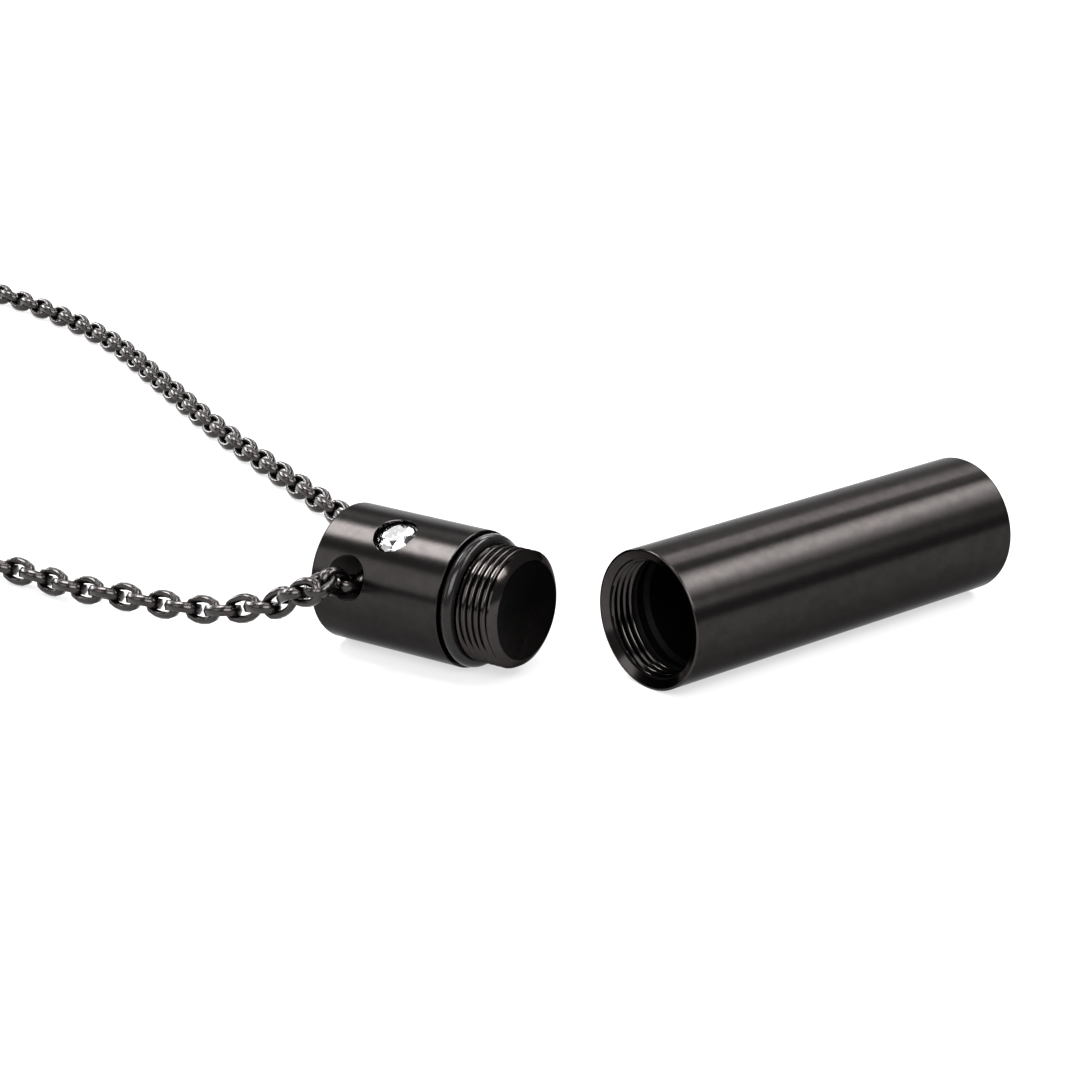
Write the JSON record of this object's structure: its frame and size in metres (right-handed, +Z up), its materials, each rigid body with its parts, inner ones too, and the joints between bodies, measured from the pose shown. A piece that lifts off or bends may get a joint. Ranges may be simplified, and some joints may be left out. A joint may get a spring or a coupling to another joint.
{
  "type": "cylinder capsule pendant necklace",
  "caption": "Slim round metal capsule pendant lying unscrewed: hollow tube beside its stone-set screw cap, which hangs on a fine link chain.",
  "frame": {"origin": "on the surface that everything lies on, under the middle of the whole part's box", "axes": "+X along the tube from its open mouth to its closed end, +Z up from the surface"},
  "size_m": [0.1338, 0.221, 0.01],
  "materials": {
    "capsule_metal": "dark gunmetal coating over satin circumferential brushing",
    "seal_rubber": "smooth glossy black",
    "clear_stone": "faceted and polished",
    "chain_metal": "dark gunmetal coating, polished"
  },
  "bodies": {
    "root": {"tube": "capsule_metal", "cap": "capsule_metal", "seal_ring": "seal_rubber", "stone": "clear_stone", "chain": "chain_metal", "clasp": "chain_metal"}
  },
  "joints": []
}
